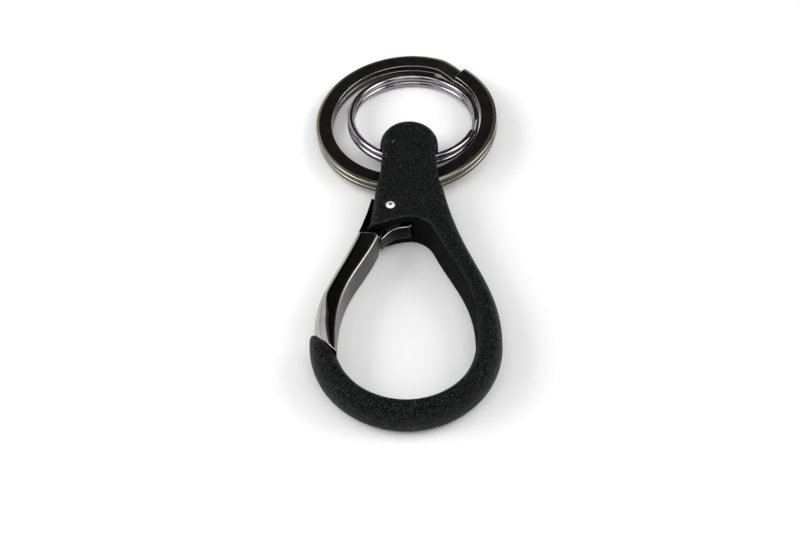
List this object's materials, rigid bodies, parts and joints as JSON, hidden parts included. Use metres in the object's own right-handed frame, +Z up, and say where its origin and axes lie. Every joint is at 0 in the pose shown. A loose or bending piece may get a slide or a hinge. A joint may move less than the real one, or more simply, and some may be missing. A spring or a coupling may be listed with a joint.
{
  "type": "carabiner keyring",
  "caption": "Snap hook keyring: a teardrop hook with a sprung inward-opening gate, and a large flat split ring and a smaller wire split ring swinging in the slot of its head.",
  "frame": {"origin": "centre of the keyring's bounding box in X and Y, on the surface that it lies on", "axes": "+Y from the hook's loop to its head and rings, +X towards the hook's solid limb, +Z up"},
  "size_m": [0.0353, 0.088, 0.008],
  "materials": {
    "matt_black": "matte powder coat with a fine grain",
    "gunmetal": "polished black nickel",
    "bright_steel": "polished",
    "spring_steel": "satin",
    "ring_nickel": "polished black nickel",
    "wire_nickel": "polished black nickel"
  },
  "bodies": {
    "hook": {"hook_body": "matt_black", "gate_pin": "bright_steel", "gate_spring": "spring_steel"},
    "gate": {"gate": "gunmetal"},
    "flat_ring": {"flat_split_ring": "ring_nickel"},
    "wire_ring": {"wire_split_ring": "wire_nickel"}
  },
  "joints": [
    {"name": "gate_pivot", "type": "hinge", "parent": "hook", "child": "gate", "pos_m": [-0.0033, 0.0023, 0.004], "axis": [0, 0, 1], "range_deg": [0, 28], "stiffness_Nm_per_rad": 0.08, "springref_deg": -5.73, "deforming": ["gate_spring"]},
    {"name": "flat_ring_swing", "type": "hinge", "parent": "hook", "child": "flat_ring", "pos_m": [-0.0006, 0.0105, 0.00372], "axis": [1, 0, 0], "range_deg": [-90, 100]},
    {"name": "wire_ring_swing", "type": "hinge", "parent": "hook", "child": "wire_ring", "pos_m": [0.0007, 0.0151, 0.00481], "axis": [1, 0, 0], "range_deg": [-30, 75]}
  ]
}
